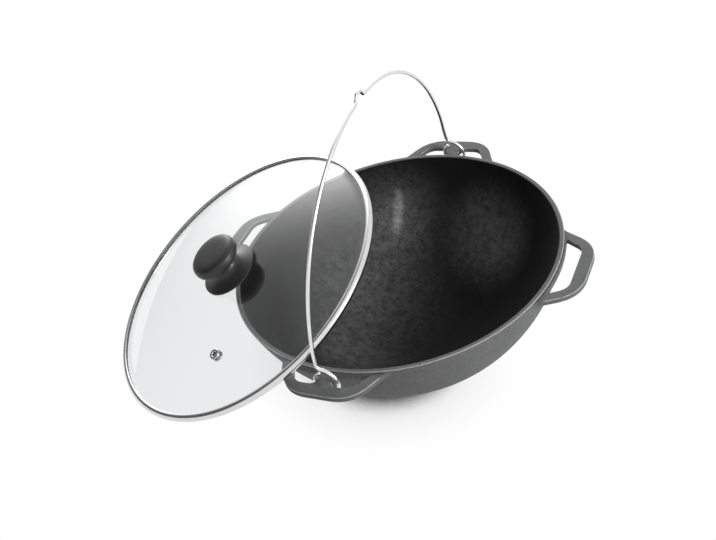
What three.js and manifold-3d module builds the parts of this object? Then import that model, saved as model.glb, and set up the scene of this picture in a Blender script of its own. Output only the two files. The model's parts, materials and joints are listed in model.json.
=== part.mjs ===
// Round-bottomed cast iron cauldron with a wire bail and a domed glass lid.
// The pot lies tilted on its round bottom, the lid leans on it with its lower edge on the floor,
// and the bail stands up.
// Millimetres, +Z up. The floor is z = 0, and the origin is the middle of the footprint.

import * as THREE from 'three';
import { mergeVertices } from 'three/addons/utils/BufferGeometryUtils.js';
import Module from 'manifold-3d';

const wasm = await Module();
wasm.setup();

// Clearance between pieces that touch on the real object
const FIT = 0.3;

// Pot casting, with heights taken from the top face of the rim
const RIM_RADIUS = 180;
const BOWL_DEPTH = 143.5;
const WALL = 5;
const RIM_EDGE = 0.8;
const GATE_RADIUS = 21;

// Four ears cast on the rim at right angles: two plain grips, two that carry the bail
const EAR_REACH = 31;
const EAR_TIP_WIDTH = 74;
const EAR_TIP_ROUND = 24;
const EAR_ROOT_WIDTH = 113;
const EAR_ROOT_ROUND = 6;
const EAR_THICKNESS = 6;
const EAR_DROP = 2;
const EAR_EDGE = 0.8;
const EAR_FRAME = 14;
const SLOT_WEB = 1.5;
const SLOT_INNER_WIDTH = 92;
const SLOT_OUTER_WIDTH = 62;
const SLOT_ROUND = 9;
const BRIDGE_WIDTH = 15;

// Bail: one bent wire with an eye curled round the bridge of each bail ear
const WIRE_DIAMETER = 4;
const BAIL_REACH = 10;
const BAIL_LEAN = 3;
const LEG_OFFSET = -6.5;
const FOOT_OFFSET = -4.5;
const FOOT_HEIGHT = 18.4;
const EYE_PLAY = 2.4;
const EYE_SHIFT = 1.5;
const EYE_TIP_BEARING = 118;
const HOOK_RISE = 6.5;
const HOOK_WIDTH = 18;
const HOOK_OFFSET = 4.5;

// Glass lid, with heights taken from the lower edge of its steel band
const LID_RADIUS = 173;
const BAND_SHEET = 0.8;
const BAND_TOP_LIP = 6.5;
const BAND_BOTTOM_LIP = 5;
const RIM_SEAL = 0.8;
const RIM_SEAL_LEG = 4.5;
const GLASS_THICKNESS = 4;
const GLASS_LAND = 8;
const DOME_RISE = 18;
const KNOB_HOLE_RADIUS = 4;

// Knob and the screw that holds it
const KNOB_BASE_RADIUS = 33;
const KNOB_BASE_EDGE = 2.5;
const KNOB_SKIRT = 3.5;
const KNOB_WAIST_RADIUS = 16.5;
const KNOB_WAIST_HEIGHT = 15.5;
const KNOB_CAP_RADIUS = 28;
const KNOB_CAP_HEIGHT = 24.5;
const KNOB_CAP_FLAT = 24;
const KNOB_HEIGHT = 34;
const KNOB_BOSS_RADIUS = 13;
const KNOB_RECESS = 2.5;
const INSERT_RADIUS = 4.5;
const INSERT_LENGTH = 14;
const SCREW_RADIUS = 2.5;
const SCREW_GRIP = 10;
const SCREW_HEAD_RADIUS = 5;
const SCREW_HEAD_HEIGHT = 3.2;
const KNOB_SEAL_RADIUS = 11.5;
const KNOB_SEAL = 1.5;
const KNOB_WASHER_RADIUS = 12;
const KNOB_WASHER = 1.2;
const LOCK_WASHER_RADIUS = 4.6;
const LOCK_WASHER = 1.2;

// Steam vent: a flanged eyelet riveted through the glass
const VENT_DISTANCE = 105;
const VENT_BEARING = 55;
const VENT_BORE_RADIUS = 2.6;
const VENT_TUBE_RADIUS = 3.7;
const VENT_FLANGE_RADIUS = 6;
const VENT_FLANGE = 0.8;
const VENT_GASKET = 1;
const VENT_WASHER = 1;

// How the pieces stand, in degrees
const POT_ROLL = -9.6;
const POT_PITCH = 11.9;
const LID_LEAN = 37.1;
const LID_TURN = -132.5;
const LID_BEARING = -155;

// Facets round each family of turned pieces
const POT_FACETS = 72;
const BOWL_STEPS = 9;
const LID_FACETS = 64;
const DOME_STEPS = 7;
const KNOB_FACETS = 32;
const SMALL_FACETS = 20;
const WIRE_SIDES = 8;
const WIRE_STEPS = 160;
const EYE_STEPS = 8;
const FOOT_STEPS = 4;
const ARCH_STEPS = 24;
const LEAN_STEPS = 18;

const radians = THREE.MathUtils.degToRad;

const castIron = new THREE.MeshStandardMaterial({ color: 0x3d3f41, roughness: 0.62, metalness: 0.55 });
const brightWire = new THREE.MeshStandardMaterial({ color: 0xc9ccd0, roughness: 0.25, metalness: 1 });
const bandSteel = new THREE.MeshStandardMaterial({ color: 0xd6d8da, roughness: 0.22, metalness: 1 });
const clearGlass = new THREE.MeshStandardMaterial({
  color: 0xe4ebe9, roughness: 0.04, metalness: 0, transparent: true, opacity: 0.25,
});
const blackKnob = new THREE.MeshStandardMaterial({ color: 0x2b2b2d, roughness: 0.38, metalness: 0 });
const silicone = new THREE.MeshStandardMaterial({ color: 0x8d9091, roughness: 0.7, metalness: 0 });
const brass = new THREE.MeshStandardMaterial({ color: 0xb5934c, roughness: 0.35, metalness: 1 });
const zincSteel = new THREE.MeshStandardMaterial({ color: 0xb9bcbf, roughness: 0.35, metalness: 1 });

function named(name, geometry, material) {
  const mesh = new THREE.Mesh(geometry, material);
  mesh.name = name;
  return mesh;
}

// Turns an [radius, height] outline, listed anticlockwise, round the Z axis.
function turned(outline, facets) {
  const points = outline.map(([radius, height]) => new THREE.Vector2(radius, height));
  return new THREE.LatheGeometry(points, facets).rotateX(Math.PI / 2);
}

// A turned piece with a hole through it closes on its own first point.
function turnedRing(outline, facets) {
  return turned([...outline, outline[0]], facets);
}

// A flat washer from its bottom face up.
function washer(inner, outer, bottom, thickness) {
  const top = bottom + thickness;
  return turnedRing([[inner, bottom], [outer, bottom], [outer, top], [inner, top]], SMALL_FACETS);
}

// Points of a circular arc in an [radius, height] outline; angles from straight down, in radians.
function arc(centreHeight, radius, from, to, steps) {
  return Array.from({ length: steps + 1 }, (_, i) => {
    const angle = from + ((to - from) * i) / steps;
    return [radius * Math.sin(angle), centreHeight - radius * Math.cos(angle)];
  });
}

// Closed solid for cutting and joining.
function solidOf(geometry) {
  const bare = geometry.clone();
  bare.deleteAttribute('normal');
  bare.deleteAttribute('uv');
  const merged = mergeVertices(bare, 1e-4);
  const index = merged.index.array;
  const triangles = [];
  for (let i = 0; i < index.length; i += 3) {
    const [a, b, c] = [index[i], index[i + 1], index[i + 2]];
    if (a !== b && b !== c && c !== a) triangles.push(a, b, c);
  }
  return new wasm.Manifold(new wasm.Mesh({
    numProp: 3,
    vertProperties: new Float32Array(merged.attributes.position.array),
    triVerts: new Uint32Array(triangles),
  }));
}

function geometryOf(solid) {
  const mesh = solid.getMesh();
  const geometry = new THREE.BufferGeometry();
  geometry.setAttribute('position', new THREE.BufferAttribute(new Float32Array(mesh.vertProperties), 3));
  geometry.setIndex(new THREE.BufferAttribute(new Uint32Array(mesh.triVerts), 1));
  geometry.computeVertexNormals();
  return geometry;
}

// Closed shape through [x, y, round] corners, each rounded over the given length of its two sides.
function roundedShape(corners) {
  const shape = new THREE.Shape();
  corners.forEach(([x, y, round], i) => {
    const corner = new THREE.Vector2(x, y);
    const [before, after] = [corners.at(i - 1), corners[(i + 1) % corners.length]].map(([nx, ny]) =>
      new THREE.Vector2(nx, ny).sub(corner).setLength(round).add(corner));
    if (i === 0) shape.moveTo(before.x, before.y);
    else shape.lineTo(before.x, before.y);
    if (round > 0) shape.quadraticCurveTo(corner.x, corner.y, after.x, after.y);
  });
  shape.closePath();
  return shape;
}

// The bowl is a wall of even thickness between two concentric spheres.
const bowlRadius = (RIM_RADIUS ** 2 + BOWL_DEPTH ** 2) / (2 * BOWL_DEPTH);
const bowlCentre = bowlRadius - BOWL_DEPTH;
const boreRadius = bowlRadius - WALL;

function bowlOutside() {
  const gate = Math.asin(GATE_RADIUS / bowlRadius);
  const rim = Math.acos((bowlCentre + RIM_EDGE) / bowlRadius);
  const wall = arc(bowlCentre, bowlRadius, gate, rim, BOWL_STEPS);
  return turned([[0, wall[0][1]], ...wall, [RIM_RADIUS - RIM_EDGE, 0], [0, 0]], POT_FACETS);
}

function bowlInside() {
  const rim = Math.acos((bowlCentre + RIM_EDGE) / boreRadius);
  const wall = arc(bowlCentre, boreRadius, 0, rim, BOWL_STEPS);
  const mouth = wall.at(-1)[0] + RIM_EDGE;
  return turned([...wall, [mouth, 0], [mouth, WALL], [0, WALL]], POT_FACETS);
}

const earTip = RIM_RADIUS + EAR_REACH;

// Ear plate reaching along +X, with its foot buried in the bowl's wall.
function earPlate() {
  const root = EAR_ROOT_WIDTH / 2;
  const tip = EAR_TIP_WIDTH / 2;
  const footAcross = root + 2 * EAR_ROOT_ROUND;
  const foot = Math.sqrt((RIM_RADIUS - 0.8 * WALL) ** 2 - footAcross ** 2);
  const rootOut = Math.sqrt(RIM_RADIUS ** 2 - root ** 2);
  const outline = roundedShape([
    [foot, -footAcross, 0],
    [rootOut, -root, EAR_ROOT_ROUND],
    [earTip, -tip, EAR_TIP_ROUND],
    [earTip, tip, EAR_TIP_ROUND],
    [rootOut, root, EAR_ROOT_ROUND],
    [foot, footAcross, 0],
  ]);
  return new THREE.ExtrudeGeometry(outline, {
    depth: EAR_THICKNESS - 2 * EAR_EDGE,
    bevelThickness: EAR_EDGE,
    bevelSize: EAR_EDGE,
    bevelOffset: -EAR_EDGE,
    bevelSegments: 1,
    curveSegments: 6,
  }).translate(0, 0, EAR_EDGE - EAR_DROP - EAR_THICKNESS);
}

// Cutter for one opening of an ear, from one place across the ear to the other.
function slotCutter(innerFrom, outerFrom, outerTo, innerTo) {
  const inner = RIM_RADIUS - 2 * WALL;
  const outer = earTip - EAR_FRAME;
  const outline = roundedShape([
    [inner, innerFrom, 0],
    [outer, outerFrom, SLOT_ROUND],
    [outer, outerTo, SLOT_ROUND],
    [inner, innerTo, 0],
  ]);
  const height = 2 * (EAR_DROP + EAR_THICKNESS);
  const through = new THREE.ExtrudeGeometry(outline, {
    depth: height,
    bevelEnabled: false,
    curveSegments: 5,
  });
  const web = RIM_RADIUS + SLOT_WEB;
  const kept = new THREE.CylinderGeometry(web, web, 3 * height, POT_FACETS).rotateX(Math.PI / 2);
  return solidOf(through.translate(0, 0, -height)).subtract(solidOf(kept));
}

function gripSlots() {
  const inner = SLOT_INNER_WIDTH / 2;
  const outer = SLOT_OUTER_WIDTH / 2;
  return [slotCutter(-inner, -outer, outer, inner)];
}

// The bail ears keep a bridge in the middle of the opening.
function bailSlots() {
  const inner = SLOT_INNER_WIDTH / 2;
  const outer = SLOT_OUTER_WIDTH / 2;
  const bridge = BRIDGE_WIDTH / 2;
  return [slotCutter(-inner, -outer, -bridge, -bridge), slotCutter(bridge, bridge, outer, inner)];
}

function ear(bearing, slots) {
  const cut = slots.reduce((solid, slot) => solid.subtract(slot), solidOf(earPlate()));
  return solidOf(geometryOf(cut).rotateZ(radians(bearing)));
}

function potCasting() {
  const ears = [ear(0, gripSlots()), ear(90, bailSlots()), ear(180, gripSlots()), ear(270, bailSlots())];
  const outside = ears.reduce((solid, next) => solid.add(next), solidOf(bowlOutside()));
  return named('pot_casting', geometryOf(outside.subtract(solidOf(bowlInside()))), castIron);
}

// The bail turns about the middle of the ears' bridges.
const hingeHeight = -EAR_DROP - EAR_THICKNESS / 2;
const wireRadius = WIRE_DIAMETER / 2;
const bailRadius = RIM_RADIUS + BAIL_REACH;

// Centre line of one eye, from its tip over the bridge, round below it and out to the foot of the
// leg, in the bail's own frame: the hinge axis is Y, and side is the sign of the ear's place on it.
function eyePoints(side) {
  const eyeRadius = Math.hypot(BRIDGE_WIDTH / 2, EAR_THICKNESS / 2) + EYE_PLAY + wireRadius;
  const foot = new THREE.Vector2(FOOT_OFFSET - EYE_SHIFT, FOOT_HEIGHT);
  const point = (angle, radius) => new THREE.Vector3(
    EYE_SHIFT + radius * Math.cos(angle), side * bailRadius, radius * Math.sin(angle));
  const tip = radians(EYE_TIP_BEARING);
  const round = Array.from({ length: EYE_STEPS + 1 }, (_, i) =>
    point(tip + ((2 * Math.PI - tip) * i) / EYE_STEPS, eyeRadius));
  const out = Array.from({ length: FOOT_STEPS }, (_, i) => {
    const share = (i + 1) / FOOT_STEPS;
    return point(foot.angle() * share, eyeRadius + (foot.length() - eyeRadius) * share ** 3);
  });
  return [...round, ...out];
}

// The arch is a half circle round the rim's centre, with a raised seat for a hook bent into it
// just off its top.
function archPoints() {
  const start = Math.asin((FOOT_HEIGHT + 2 * WIRE_DIAMETER) / bailRadius);
  const points = [];
  for (let i = 0; i <= ARCH_STEPS; i += 1) {
    const angle = start + ((Math.PI - 2 * start) * i) / ARCH_STEPS;
    const across = -bailRadius * Math.cos(angle);
    points.push(new THREE.Vector3(LEG_OFFSET, across, bailRadius * Math.sin(angle) - hingeHeight));
  }
  const crown = bailRadius - hingeHeight;
  const seat = [-1, -0.4, 0.4, 1].map((place) => {
    const rise = Math.abs(place) < 1 ? HOOK_RISE : 0;
    return new THREE.Vector3(LEG_OFFSET, HOOK_OFFSET + (place * HOOK_WIDTH) / 2, crown + rise);
  });
  const before = points.filter((point) => point.y < HOOK_OFFSET - HOOK_WIDTH);
  const after = points.filter((point) => point.y > HOOK_OFFSET + HOOK_WIDTH);
  return [...before, ...seat, ...after];
}

function bailWire() {
  const route = [...eyePoints(-1), ...archPoints(), ...eyePoints(1).reverse()];
  const section = new THREE.Shape().absarc(0, 0, wireRadius, 0, 2 * Math.PI);
  const geometry = new THREE.ExtrudeGeometry(section, {
    steps: WIRE_STEPS,
    curveSegments: WIRE_SIDES / 2,
    extrudePath: new THREE.CatmullRomCurve3(route, false, 'centripetal'),
  });
  const wire = named('bail_wire', geometry, brightWire);
  wire.position.z = hingeHeight;
  wire.rotation.y = radians(BAIL_LEAN);
  return wire;
}

// Heights in the lid, built up from the lower lip of the band through the seal to the glass.
const sealBottom = BAND_SHEET + FIT;
const glassLandBottom = sealBottom + RIM_SEAL + FIT;
const glassLandTop = glassLandBottom + GLASS_THICKNESS;
const sealTop = glassLandTop + FIT + RIM_SEAL;
const bandTop = sealTop + FIT + BAND_SHEET;
const sealRadius = LID_RADIUS - BAND_SHEET - FIT;
const glassRadius = sealRadius - RIM_SEAL - FIT;
const domeEdge = glassRadius - GLASS_LAND;
const domeRadius = (domeEdge ** 2 + DOME_RISE ** 2) / (2 * DOME_RISE);

function glassTop(radius) {
  return glassLandTop + DOME_RISE - domeRadius + Math.sqrt(domeRadius ** 2 - radius ** 2);
}

function glassBottom(radius) {
  return glassTop(radius) - GLASS_THICKNESS;
}

// Folded steel channel that holds the glass all round.
function rimBand() {
  const inside = LID_RADIUS - BAND_SHEET;
  const topLip = LID_RADIUS - BAND_TOP_LIP;
  const bottomLip = LID_RADIUS - BAND_BOTTOM_LIP;
  return turnedRing([
    [bottomLip, 0], [LID_RADIUS, 0], [LID_RADIUS, bandTop], [topLip, bandTop],
    [topLip, bandTop - BAND_SHEET], [inside, bandTop - BAND_SHEET],
    [inside, BAND_SHEET], [bottomLip, BAND_SHEET],
  ], LID_FACETS);
}

// Soft channel between the band and the edge of the glass.
function rimSeal() {
  const inside = sealRadius - RIM_SEAL;
  const legs = sealRadius - RIM_SEAL_LEG;
  return turnedRing([
    [legs, sealBottom], [sealRadius, sealBottom], [sealRadius, sealTop], [legs, sealTop],
    [legs, sealTop - RIM_SEAL], [inside, sealTop - RIM_SEAL],
    [inside, sealBottom + RIM_SEAL], [legs, sealBottom + RIM_SEAL],
  ], LID_FACETS);
}

// Place of the vent on top of the dome, with Z along the glass's own normal there.
function ventFrame() {
  const frame = new THREE.Group();
  const bearing = radians(VENT_BEARING);
  const out = new THREE.Vector2(VENT_DISTANCE, 0).rotateAround(new THREE.Vector2(), bearing);
  frame.rotation.order = 'ZYX';
  frame.rotation.set(0, Math.asin(VENT_DISTANCE / domeRadius), bearing);
  frame.position.set(out.x, out.y, glassTop(VENT_DISTANCE));
  frame.updateMatrix();
  return frame;
}

function lidGlass() {
  const radii = Array.from({ length: DOME_STEPS + 1 }, (_, i) =>
    KNOB_HOLE_RADIUS + ((domeEdge - KNOB_HOLE_RADIUS) * i) / DOME_STEPS);
  const under = radii.map((radius) => [radius, glassBottom(radius)]);
  const over = radii.map((radius) => [radius, glassTop(radius)]).reverse();
  const edge = [[glassRadius, glassLandBottom], [glassRadius, glassLandTop]];
  const blank = solidOf(turnedRing([...under, ...edge, ...over], LID_FACETS));
  const hole = new THREE.CylinderGeometry(
    VENT_TUBE_RADIUS + FIT, VENT_TUBE_RADIUS + FIT, 4 * GLASS_THICKNESS, SMALL_FACETS);
  const drill = solidOf(hole.rotateX(Math.PI / 2).applyMatrix4(ventFrame().matrix));
  return named('lid_glass', geometryOf(blank.subtract(drill)), clearGlass);
}

// Eyelet, gasket and washer of the vent, in the vent's frame: Z = 0 is the top of the glass.
function vent() {
  const frame = ventFrame();
  const flangeBottom = FIT + VENT_GASKET + FIT;
  const flangeTop = flangeBottom + VENT_FLANGE;
  const washerBottom = -GLASS_THICKNESS - FIT - VENT_WASHER;
  const rolledTop = washerBottom - FIT;
  const rolledBottom = rolledTop - VENT_FLANGE;
  const mouth = VENT_BORE_RADIUS + VENT_FLANGE;
  const eyelet = turnedRing([
    [VENT_BORE_RADIUS, rolledBottom], [VENT_FLANGE_RADIUS, rolledBottom], [VENT_FLANGE_RADIUS, rolledTop],
    [VENT_TUBE_RADIUS, rolledTop], [VENT_TUBE_RADIUS, flangeBottom], [VENT_FLANGE_RADIUS, flangeBottom],
    [VENT_FLANGE_RADIUS, flangeTop], [mouth, flangeTop], [VENT_BORE_RADIUS, flangeBottom],
  ], SMALL_FACETS);
  const inner = VENT_TUBE_RADIUS + FIT;
  frame.add(
    named('vent_eyelet', eyelet, bandSteel),
    named('vent_gasket', washer(inner, VENT_FLANGE_RADIUS, FIT, VENT_GASKET), silicone),
    named('vent_washer', washer(inner, VENT_FLANGE_RADIUS, washerBottom, VENT_WASHER), bandSteel),
  );
  return frame;
}

// Heights of the knob's stack, from the glass up and from the glass down.
const screwHole = SCREW_RADIUS + FIT;
const upperSealBottom = glassTop(KNOB_HOLE_RADIUS) + FIT;
const bossBottom = upperSealBottom + KNOB_SEAL + FIT;
const knobBottom = glassTop(KNOB_BASE_RADIUS - KNOB_SKIRT) + FIT;
const insertBottom = bossBottom;
const lowerSealBottom = glassBottom(KNOB_SEAL_RADIUS) - FIT - KNOB_SEAL;
const knobWasherBottom = lowerSealBottom - FIT - KNOB_WASHER;
const lockWasherBottom = knobWasherBottom - FIT - LOCK_WASHER;
const headTop = lockWasherBottom - FIT;

// Moulded knob: a flared foot, a narrow waist and a domed cap, hollow under the foot.
function knobBody() {
  const boreTop = insertBottom + INSERT_LENGTH + FIT;
  const bore = INSERT_RADIUS + FIT;
  const skirt = KNOB_BASE_RADIUS - KNOB_SKIRT;
  const recess = bossBottom + KNOB_RECESS;
  const at = (height) => knobBottom + height;
  const waist = new THREE.CubicBezierCurve(
    new THREE.Vector2(KNOB_BASE_RADIUS, at(KNOB_BASE_EDGE)),
    new THREE.Vector2(KNOB_WAIST_RADIUS + 3, at(KNOB_BASE_EDGE + 4)),
    new THREE.Vector2(KNOB_WAIST_RADIUS, at(KNOB_WAIST_HEIGHT - 5)),
    new THREE.Vector2(KNOB_WAIST_RADIUS, at(KNOB_WAIST_HEIGHT)));
  const neck = new THREE.CubicBezierCurve(
    new THREE.Vector2(KNOB_WAIST_RADIUS, at(KNOB_WAIST_HEIGHT)),
    new THREE.Vector2(KNOB_WAIST_RADIUS, at(KNOB_WAIST_HEIGHT + 5)),
    new THREE.Vector2(KNOB_CAP_RADIUS, at(KNOB_CAP_HEIGHT - 7)),
    new THREE.Vector2(KNOB_CAP_RADIUS, at(KNOB_CAP_HEIGHT)));
  const cap = new THREE.CubicBezierCurve(
    new THREE.Vector2(KNOB_CAP_RADIUS, at(KNOB_CAP_HEIGHT)),
    new THREE.Vector2(KNOB_CAP_RADIUS, at(KNOB_HEIGHT)),
    new THREE.Vector2(KNOB_CAP_FLAT, at(KNOB_HEIGHT)),
    new THREE.Vector2(0, at(KNOB_HEIGHT)));
  const outside = [waist.getPoints(5), neck.getPoints(6).slice(1), cap.getPoints(6).slice(1)].flat();
  return turned([
    [0, boreTop], [bore, boreTop], [bore, bossBottom], [KNOB_BOSS_RADIUS, bossBottom],
    [KNOB_BOSS_RADIUS, recess], [KNOB_BASE_RADIUS - 2 * KNOB_SKIRT, recess],
    [skirt, knobBottom], [KNOB_BASE_RADIUS, knobBottom],
    ...outside.map(({ x, y }) => [x, y]),
  ], KNOB_FACETS);
}

function knobScrew() {
  const headBottom = headTop - SCREW_HEAD_HEIGHT;
  const tip = insertBottom + SCREW_GRIP;
  const round = SCREW_HEAD_HEIGHT / 3;
  return turned([
    [0, headBottom], [SCREW_HEAD_RADIUS - round, headBottom], [SCREW_HEAD_RADIUS, headBottom + round],
    [SCREW_HEAD_RADIUS, headTop], [SCREW_RADIUS, headTop], [SCREW_RADIUS, tip], [0, tip],
  ], SMALL_FACETS);
}

function knob() {
  const group = new THREE.Group();
  const ring = (radius, bottom, thickness) => washer(screwHole, radius, bottom, thickness);
  group.add(
    named('knob_body', knobBody(), blackKnob),
    named('knob_insert', ring(INSERT_RADIUS, insertBottom, INSERT_LENGTH), brass),
    named('knob_seal_upper', ring(KNOB_SEAL_RADIUS, upperSealBottom, KNOB_SEAL), silicone),
    named('knob_seal_lower', ring(KNOB_SEAL_RADIUS, lowerSealBottom, KNOB_SEAL), silicone),
    named('knob_washer', ring(KNOB_WASHER_RADIUS, knobWasherBottom, KNOB_WASHER), zincSteel),
    named('knob_lock_washer', ring(LOCK_WASHER_RADIUS, lockWasherBottom, LOCK_WASHER), zincSteel),
    named('knob_screw', knobScrew(), zincSteel),
  );
  return group;
}

function lid() {
  const group = new THREE.Group();
  group.add(
    lidGlass(),
    named('lid_rim_band', rimBand(), bandSteel),
    named('lid_rim_seal', rimSeal(), silicone),
    knob(),
    vent(),
  );
  return group;
}

// The pot rests on its round bottom, so its rim's centre stands at one height for each tilt.
function pot() {
  const group = new THREE.Group();
  group.add(potCasting(), bailWire());
  group.rotation.order = 'YXZ';
  group.rotation.set(radians(POT_PITCH), radians(POT_ROLL), 0);
  const upright = Math.cos(radians(POT_PITCH)) * Math.cos(radians(POT_ROLL));
  group.position.z = bowlRadius - bowlCentre * upright;
  group.updateMatrix();
  return group;
}

// Stands the lid on its lower edge and slides it in along its bearing until it touches the pot.
function leanOnPot(lidGroup, potGroup) {
  const casting = potGroup.getObjectByName('pot_casting');
  const potSolid = solidOf(casting.geometry.clone().applyMatrix4(potGroup.matrix));
  const gauge = turnedRing([
    [LID_RADIUS - BAND_TOP_LIP, -FIT], [LID_RADIUS + FIT, -FIT],
    [LID_RADIUS + FIT, bandTop + FIT], [LID_RADIUS - BAND_TOP_LIP, bandTop + FIT],
  ], LID_FACETS);
  const bearing = radians(LID_BEARING);
  lidGroup.rotation.order = 'ZYX';
  lidGroup.rotation.set(0, radians(LID_LEAN), radians(LID_TURN));
  const place = (distance) => {
    lidGroup.position.set(
      distance * Math.cos(bearing), distance * Math.sin(bearing), LID_RADIUS * Math.sin(radians(LID_LEAN)));
    lidGroup.updateMatrix();
  };
  let touching = 0;
  let clear = RIM_RADIUS + LID_RADIUS;
  for (let i = 0; i < LEAN_STEPS; i += 1) {
    const middle = (touching + clear) / 2;
    place(middle);
    const shared = potSolid.intersect(solidOf(gauge.clone().applyMatrix4(lidGroup.matrix)));
    if (shared.isEmpty()) clear = middle;
    else touching = middle;
  }
  place(clear);
}

function cauldron() {
  const group = new THREE.Group();
  const potGroup = pot();
  const lidGroup = lid();
  leanOnPot(lidGroup, potGroup);
  group.add(potGroup, lidGroup);
  group.updateMatrixWorld(true);
  const box = new THREE.Box3().setFromObject(group, true);
  const middle = box.getCenter(new THREE.Vector3());
  group.position.set(-middle.x, -middle.y, -box.min.z);
  group.updateMatrixWorld(true);
  return group;
}

export default cauldron();
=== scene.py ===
"""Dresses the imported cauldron: smooth casting, wire and lid pieces with their finishes, and a white studio.

Sizes are in millimetres, and each piece's frame turns them into metres of the row.
"""

import json
import math

import bmesh
import bpy
from mathutils import Matrix, Vector

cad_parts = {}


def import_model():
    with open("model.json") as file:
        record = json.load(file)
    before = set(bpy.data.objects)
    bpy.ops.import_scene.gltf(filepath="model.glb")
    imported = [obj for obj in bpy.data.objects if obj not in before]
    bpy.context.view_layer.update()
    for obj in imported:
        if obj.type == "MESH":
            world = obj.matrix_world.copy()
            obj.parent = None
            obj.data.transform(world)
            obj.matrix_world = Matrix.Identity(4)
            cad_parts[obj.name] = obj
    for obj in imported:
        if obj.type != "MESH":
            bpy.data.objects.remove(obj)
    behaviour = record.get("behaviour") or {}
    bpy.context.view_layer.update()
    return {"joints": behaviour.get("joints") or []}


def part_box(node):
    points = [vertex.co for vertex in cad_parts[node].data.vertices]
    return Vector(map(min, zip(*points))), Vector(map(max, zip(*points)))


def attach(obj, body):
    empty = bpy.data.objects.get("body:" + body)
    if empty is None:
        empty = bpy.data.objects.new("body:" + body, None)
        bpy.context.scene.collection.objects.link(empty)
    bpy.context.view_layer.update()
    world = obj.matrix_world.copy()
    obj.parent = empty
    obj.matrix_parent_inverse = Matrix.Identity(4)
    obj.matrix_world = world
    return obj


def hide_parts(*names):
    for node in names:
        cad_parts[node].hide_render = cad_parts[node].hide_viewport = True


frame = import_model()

MM = 0.001

# Pot casting, with heights taken from the top face of the rim
RIM_RADIUS = 180
BOWL_DEPTH = 143.5
WALL = 5
RIM_EDGE = 0.8
GATE_RADIUS = 21
BOWL_SEGMENTS = 288
BOWL_RINGS = 44

# Ears of the casting: the bearing of each and whether the bail hangs in it, and the sizes they share
EARS = ((0, False), (90, True), (180, False), (270, True))
EAR_REACH = 31
EAR_TIP_WIDTH = 74
EAR_TIP_ROUND = 24
EAR_ROOT_WIDTH = 113
EAR_ROOT_ROUND = 6
EAR_ROOT_DEPTH = 4
EAR_THICKNESS = 6
EAR_DROP = 2
EAR_EDGE = 0.9
EAR_FRAME = 14
SLOT_WEB = 1.5
SLOT_INNER_WIDTH = 92
SLOT_OUTER_WIDTH = 62
SLOT_ROUND = 9
SLOT_WEB_ROUND = 2.25
SLOT_EDGE = 0.6
BRIDGE_WIDTH = 15

# Bail wire, with the level part of its hook seat as a share of the seat's width
WIRE_DIAMETER = 4
BAIL_REACH = 10
BAIL_LEAN = 3
LEG_OFFSET = -6.5
FOOT_OFFSET = -4.5
FOOT_HEIGHT = 18.4
EYE_PLAY = 2.4
EYE_SHIFT = 1.5
EYE_TIP_BEARING = 118
HOOK_RISE = 6.2
HOOK_WIDTH = 18
HOOK_FLAT = 0.4
HOOK_OFFSET = 4.5
WIRE_SPACING = 1.4
WIRE_SIDES = 20
TIP_TAPER = 0.72

# Glass lid, with heights taken from the lower edge of its band
LID_RADIUS = 173
BAND_SHEET = 0.8
BAND_TOP_LIP = 6.5
BAND_BOTTOM_LIP = 5
BAND_CROWN = 4
RIM_SEAL = 0.8
RIM_SEAL_LEG = 4.5
FIT = 0.3
GLASS_THICKNESS = 4
GLASS_LAND = 8
DOME_RISE = 18
KNOB_HOLE_RADIUS = 4
LID_SEGMENTS = 256
DOME_RINGS = 36

# Knob, with the pulls of the curves that join its foot, waist and cap
KNOB_BASE_RADIUS = 33
KNOB_BASE_EDGE = 2.5
KNOB_BASE_ROUND = 0.6
KNOB_SKIRT = 3.5
KNOB_FLARE_PULL = (3, 4)
KNOB_WAIST_RADIUS = 16.5
KNOB_WAIST_HEIGHT = 15.5
KNOB_WAIST_PULL = 5
KNOB_CAP_RADIUS = 28
KNOB_CAP_HEIGHT = 24.5
KNOB_CAP_PULL = 7
KNOB_CAP_FLAT = 24
KNOB_HEIGHT = 34
KNOB_BOSS_RADIUS = 13
KNOB_RECESS = 2.5
KNOB_SEGMENTS = 128

# Knob's insert, screw and washers
INSERT_RADIUS = 4.5
INSERT_LENGTH = 14
SCREW_RADIUS = 2.5
SCREW_GRIP = 10
SCREW_CHAMFER = 0.7
SCREW_HEAD_RADIUS = 5
SCREW_HEAD_HEIGHT = 3.2
SCREW_HEAD_FLAT = 2.5
SCREW_HEAD_PULL = (4, 0.8)
SCREW_HEAD_SIDE = 0.6
SCREW_HEAD_EDGE = 0.2
CROSS_LENGTH = 5.2
CROSS_WIDTH = 1.1
CROSS_DEPTH = 1.7
CROSS_TAPER = 0.15
KNOB_SEAL_RADIUS = 11.5
KNOB_SEAL = 1.5
KNOB_WASHER_RADIUS = 12
KNOB_WASHER = 1.2
LOCK_WASHER_RADIUS = 4.6
LOCK_WASHER = 1.2
RING_EDGE = 0.25
SMALL_SEGMENTS = 64

# Steam vent
VENT_DISTANCE = 105
VENT_BEARING = 55
VENT_BORE_RADIUS = 2.6
VENT_TUBE_RADIUS = 3.7
VENT_FLANGE_RADIUS = 6
VENT_FLANGE = 0.8
VENT_LIP = VENT_FLANGE / 2.2
VENT_GASKET = 1
VENT_WASHER = 1

# Free edge of a folded sheet, in shares of its thickness
LIP_SETBACK = 0.4
LIP_ROUND = 0.3

# Pull that makes a cubic curve follow a quarter of an ellipse
ROUND_PULL = 0.55

# How far a cutter stands out of the face it cuts
CUT_PAST = 1

# A point of a turned outline that is nearer to the axis than this is on it
ON_AXIS = 1e-6

# Edges sharper than this many degrees keep a crease
CREASE = 40
POT_CREASE = 30
WIRE_CREASE = 50

# How the pieces stand, in degrees
POT_ROLL = -9.6
POT_PITCH = 11.9
LID_LEAN = 37.1
LID_TURN = -132.5

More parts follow.
